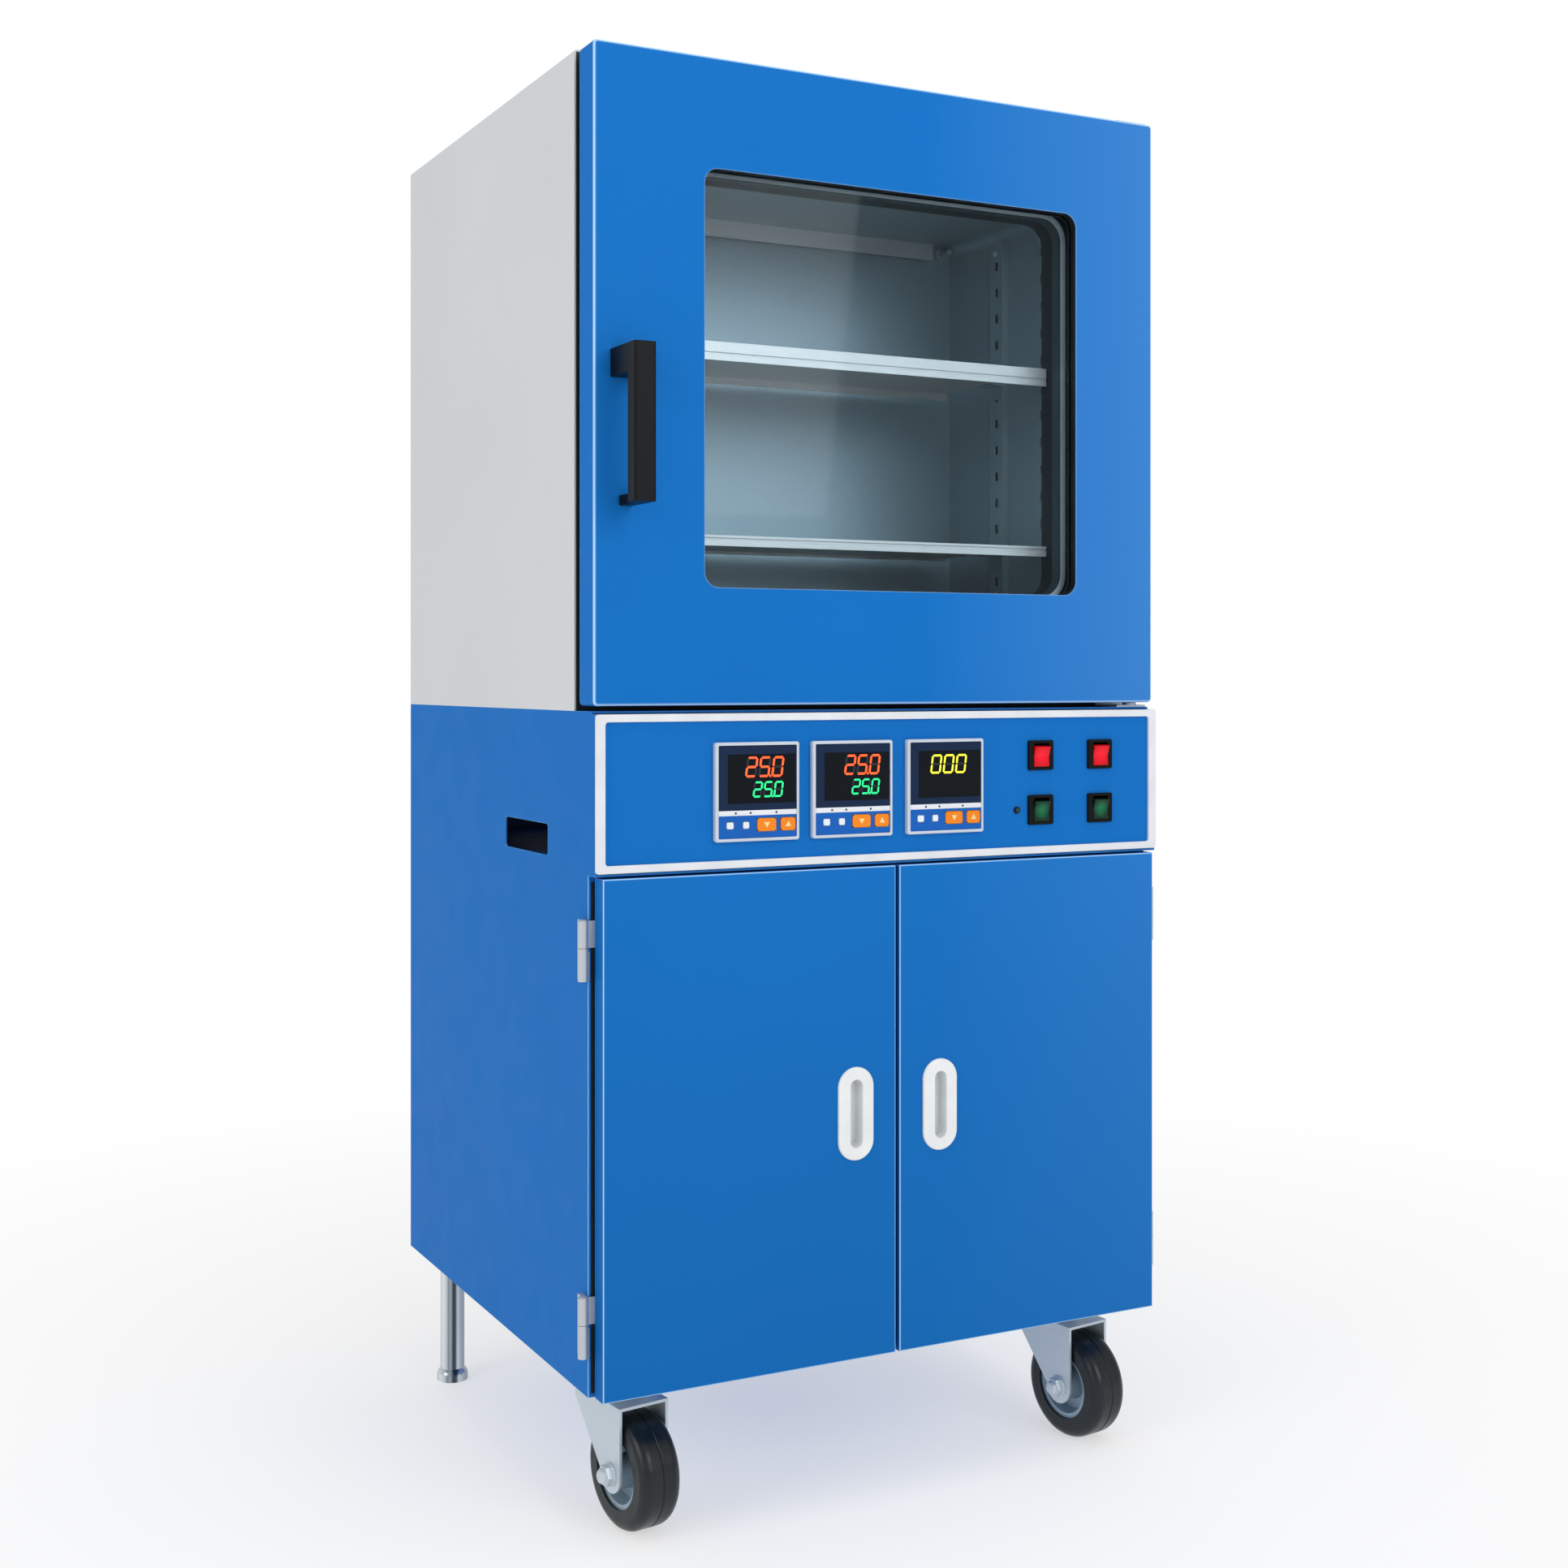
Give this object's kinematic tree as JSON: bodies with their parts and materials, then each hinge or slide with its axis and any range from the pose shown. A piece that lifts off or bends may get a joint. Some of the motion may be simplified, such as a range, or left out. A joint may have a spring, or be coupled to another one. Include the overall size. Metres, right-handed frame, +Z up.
{
  "type": "vacuum oven",
  "caption": "Floor-standing vacuum oven: glazed chamber door, control panel and base cabinet on front casters and rear legs.",
  "frame": {"origin": "on the floor, under the centre of the bounding box", "axes": "+Z up, +X to the right seen from the front, +Y from the front to the rear"},
  "size_m": [0.6706, 0.7046, 1.431],
  "materials": {
    "cabinet_paint": "satin blue powder coat",
    "casing_paint": "satin pale grey powder coat",
    "fascia_trim": "satin off-white",
    "controller_body": "fine matt",
    "display_lens": "gloss dark",
    "black_plastic": "satin black",
    "lamp_lens": "gloss",
    "dark_frame": "satin dark",
    "stainless": "brushed",
    "shelf_steel": "brushed",
    "seal_rubber": "matt",
    "glass_wool": "fibrous",
    "heater_plate": "mill",
    "thick_glass": "clear",
    "pane_glass": "clear",
    "gasket_rubber": "matt black",
    "handle_plastic": "satin black",
    "pull_plastic": "satin off-white",
    "hinge_zinc": "satin",
    "plated_steel": "bright zinc",
    "chrome_tube": "polished",
    "hub_metal": "satin",
    "tyre_rubber": "matt",
    "white_key": "matt",
    "orange_key": "matt",
    "red_rocker": "gloss translucent",
    "green_rocker": "gloss translucent",
    "valve_brass": "machined"
  },
  "bodies": {
    "oven": {"cabinet_shell": "cabinet_paint", "cabinet_back": "casing_paint", "mains_inlet": "black_plastic", "fascia_frame": "fascia_trim", "control_panel": "cabinet_paint", "controller_cases": "controller_body", "display_windows": "display_lens", "switch_housings": "black_plastic", "indicator_lamp": "lamp_lens", "upper_casing": "casing_paint", "rear_cover": "casing_paint", "front_frame": "dark_frame", "chamber": "stainless", "door_seal": "seal_rubber", "heater_mats": "heater_plate", "insulation": "glass_wool", "shelf_supports": "stainless", "shelves": "shelf_steel", "gas_baffle": "shelf_steel", "temperature_probe": "stainless", "vacuum_line": "valve_brass", "vent_line": "valve_brass", "main_hinge_brackets": "plated_steel", "cabinet_hinge_posts": "hinge_zinc", "caster_plates": "plated_steel", "rear_legs": "chrome_tube"},
    "main_door": {"door_shell": "cabinet_paint", "door_frame": "dark_frame", "door_glass": "thick_glass", "outer_pane": "pane_glass", "glazing_gasket": "gasket_rubber", "door_handle": "handle_plastic"},
    "left_cabinet_door": {"left_door": "cabinet_paint", "left_pull": "pull_plastic", "left_hinge_knuckles": "hinge_zinc"},
    "left_swivel": {"left_fork": "plated_steel"},
    "left_wheel": {"left_hub": "hub_metal", "left_tyre": "tyre_rubber"},
    "right_cabinet_door": {"right_door": "cabinet_paint", "right_pull": "pull_plastic", "right_hinge_knuckles": "hinge_zinc"},
    "right_swivel": {"right_fork": "plated_steel"},
    "right_wheel": {"right_hub": "hub_metal", "right_tyre": "tyre_rubber"},
    "key_1_set_cap": {"key_1_set": "white_key"},
    "key_1_shift_cap": {"key_1_shift": "white_key"},
    "key_1_down_cap": {"key_1_down": "orange_key"},
    "key_1_up_cap": {"key_1_up": "orange_key"},
    "key_2_set_cap": {"key_2_set": "white_key"},
    "key_2_shift_cap": {"key_2_shift": "white_key"},
    "key_2_down_cap": {"key_2_down": "orange_key"},
    "key_2_up_cap": {"key_2_up": "orange_key"},
    "key_3_set_cap": {"key_3_set": "white_key"},
    "key_3_shift_cap": {"key_3_shift": "white_key"},
    "key_3_down_cap": {"key_3_down": "orange_key"},
    "key_3_up_cap": {"key_3_up": "orange_key"},
    "left_heat_rocker_lever": {"left_heat_rocker": "red_rocker"},
    "right_heat_rocker_lever": {"right_heat_rocker": "red_rocker"},
    "pump_rocker_lever": {"pump_rocker": "green_rocker"},
    "vent_rocker_lever": {"vent_rocker": "green_rocker"}
  },
  "joints": [
    {"name": "main_door_hinge", "type": "hinge", "parent": "oven", "child": "main_door", "pos_m": [0.307, -0.27675, 0.802], "axis": [0, 0, 1], "range_deg": [0, 120]},
    {"name": "left_cabinet_door_hinge", "type": "hinge", "parent": "oven", "child": "left_cabinet_door", "pos_m": [-0.3303, -0.28075, 0.15], "axis": [0, 0, -1], "range_deg": [0, 120]},
    {"name": "right_cabinet_door_hinge", "type": "hinge", "parent": "oven", "child": "right_cabinet_door", "pos_m": [0.3303, -0.28075, 0.15], "axis": [0, 0, 1], "range_deg": [0, 120]},
    {"name": "left_caster_swivel", "type": "hinge", "parent": "oven", "child": "left_swivel", "pos_m": [-0.263, -0.19925, 0.15], "axis": [0, 0, 1], "continuous": true},
    {"name": "left_wheel_spin", "type": "hinge", "parent": "left_swivel", "child": "left_wheel", "pos_m": [-0.25813, -0.23391, 0.056], "axis": [0.9903, 0.1392, 0], "continuous": true},
    {"name": "right_caster_swivel", "type": "hinge", "parent": "oven", "child": "right_swivel", "pos_m": [0.263, -0.19925, 0.15], "axis": [0, 0, 1], "continuous": true},
    {"name": "right_wheel_spin", "type": "hinge", "parent": "right_swivel", "child": "right_wheel", "pos_m": [0.26787, -0.23391, 0.056], "axis": [0.9903, 0.1392, 0], "continuous": true},
    {"name": "left_heat_rocker_tilt", "type": "hinge", "parent": "oven", "child": "left_heat_rocker_lever", "pos_m": [0.1756, -0.29225, 0.7475], "axis": [-1, 0, 0], "range_deg": [0, 16]},
    {"name": "right_heat_rocker_tilt", "type": "hinge", "parent": "oven", "child": "right_heat_rocker_lever", "pos_m": [0.25129, -0.29225, 0.7475], "axis": [-1, 0, 0], "range_deg": [0, 16]},
    {"name": "pump_rocker_tilt", "type": "hinge", "parent": "oven", "child": "pump_rocker_lever", "pos_m": [0.1756, -0.29225, 0.6904], "axis": [-1, 0, 0], "range_deg": [0, 16]},
    {"name": "vent_rocker_tilt", "type": "hinge", "parent": "oven", "child": "vent_rocker_lever", "pos_m": [0.25129, -0.29225, 0.6904], "axis": [-1, 0, 0], "range_deg": [0, 16]},
    {"name": "key_1_set_press", "type": "slide", "parent": "oven", "child": "key_1_set_cap", "axis": [0, 1, 0], "range_m": [0, 0.0008], "stiffness_N_per_m": 300, "springref_m": -0.0005},
    {"name": "key_1_shift_press", "type": "slide", "parent": "oven", "child": "key_1_shift_cap", "axis": [0, 1, 0], "range_m": [0, 0.0008], "stiffness_N_per_m": 300, "springref_m": -0.0005},
    {"name": "key_1_down_press", "type": "slide", "parent": "oven", "child": "key_1_down_cap", "axis": [0, 1, 0], "range_m": [0, 0.0008], "stiffness_N_per_m": 300, "springref_m": -0.0005},
    {"name": "key_1_up_press", "type": "slide", "parent": "oven", "child": "key_1_up_cap", "axis": [0, 1, 0], "range_m": [0, 0.0008], "stiffness_N_per_m": 300, "springref_m": -0.0005},
    {"name": "key_2_set_press", "type": "slide", "parent": "oven", "child": "key_2_set_cap", "axis": [0, 1, 0], "range_m": [0, 0.0008], "stiffness_N_per_m": 300, "springref_m": -0.0005},
    {"name": "key_2_shift_press", "type": "slide", "parent": "oven", "child": "key_2_shift_cap", "axis": [0, 1, 0], "range_m": [0, 0.0008], "stiffness_N_per_m": 300, "springref_m": -0.0005},
    {"name": "key_2_down_press", "type": "slide", "parent": "oven", "child": "key_2_down_cap", "axis": [0, 1, 0], "range_m": [0, 0.0008], "stiffness_N_per_m": 300, "springref_m": -0.0005},
    {"name": "key_2_up_press", "type": "slide", "parent": "oven", "child": "key_2_up_cap", "axis": [0, 1, 0], "range_m": [0, 0.0008], "stiffness_N_per_m": 300, "springref_m": -0.0005},
    {"name": "key_3_set_press", "type": "slide", "parent": "oven", "child": "key_3_set_cap", "axis": [0, 1, 0], "range_m": [0, 0.0008], "stiffness_N_per_m": 300, "springref_m": -0.0005},
    {"name": "key_3_shift_press", "type": "slide", "parent": "oven", "child": "key_3_shift_cap", "axis": [0, 1, 0], "range_m": [0, 0.0008], "stiffness_N_per_m": 300, "springref_m": -0.0005},
    {"name": "key_3_down_press", "type": "slide", "parent": "oven", "child": "key_3_down_cap", "axis": [0, 1, 0], "range_m": [0, 0.0008], "stiffness_N_per_m": 300, "springref_m": -0.0005},
    {"name": "key_3_up_press", "type": "slide", "parent": "oven", "child": "key_3_up_cap", "axis": [0, 1, 0], "range_m": [0, 0.0008], "stiffness_N_per_m": 300, "springref_m": -0.0005}
  ]
}
